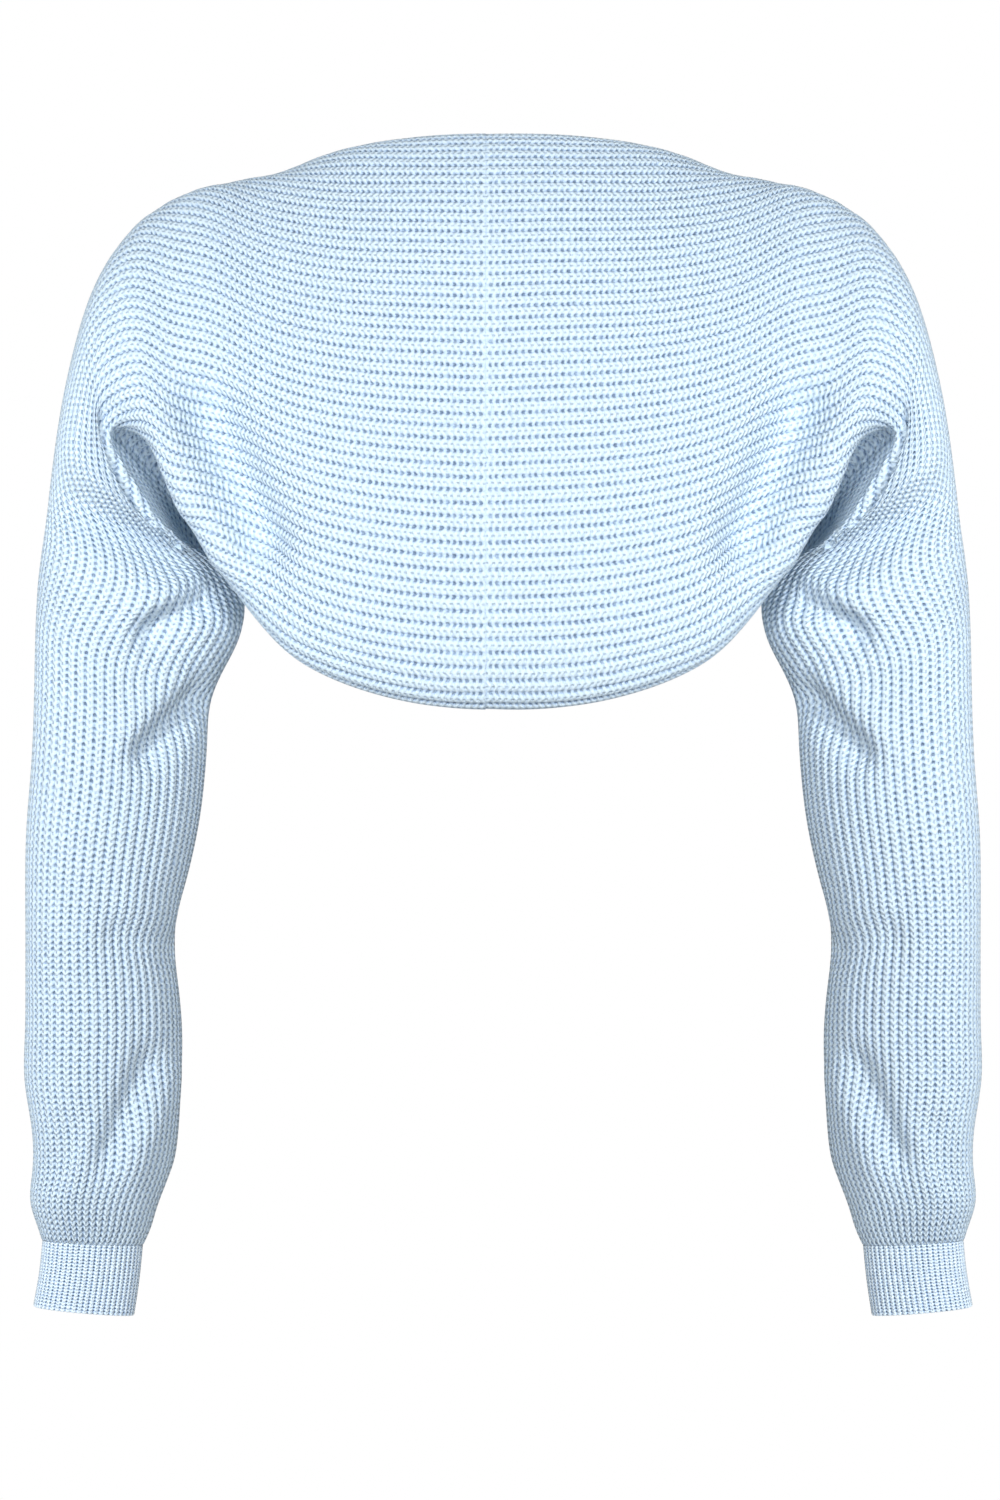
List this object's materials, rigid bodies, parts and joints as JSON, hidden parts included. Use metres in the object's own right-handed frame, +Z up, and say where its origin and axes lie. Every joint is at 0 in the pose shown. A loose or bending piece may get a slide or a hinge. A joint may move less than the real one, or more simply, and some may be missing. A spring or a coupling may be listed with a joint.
{
  "type": "knitted shrug",
  "caption": "Cropped open-front knitted shrug with long batwing sleeves, ribs running across the back and down the sleeves, and fine ribbed cuffs.",
  "frame": {"origin": "on the middle line between the shoulder tops, where the wearer's shoulders hold the garment", "axes": "+Z up along the wearer, +Y the way the wearer faces, +X towards the wearer's right hand"},
  "size_m": [0.5092, 0.1941, 0.6266],
  "materials": {
    "body_knit": "matt chunky rib knit",
    "cuff_knit": "matt fine rib knit"
  },
  "bodies": {
    "root": {"left_half": "body_knit", "right_half": "body_knit", "left_cuff": "cuff_knit", "right_cuff": "cuff_knit"}
  },
  "joints": []
}
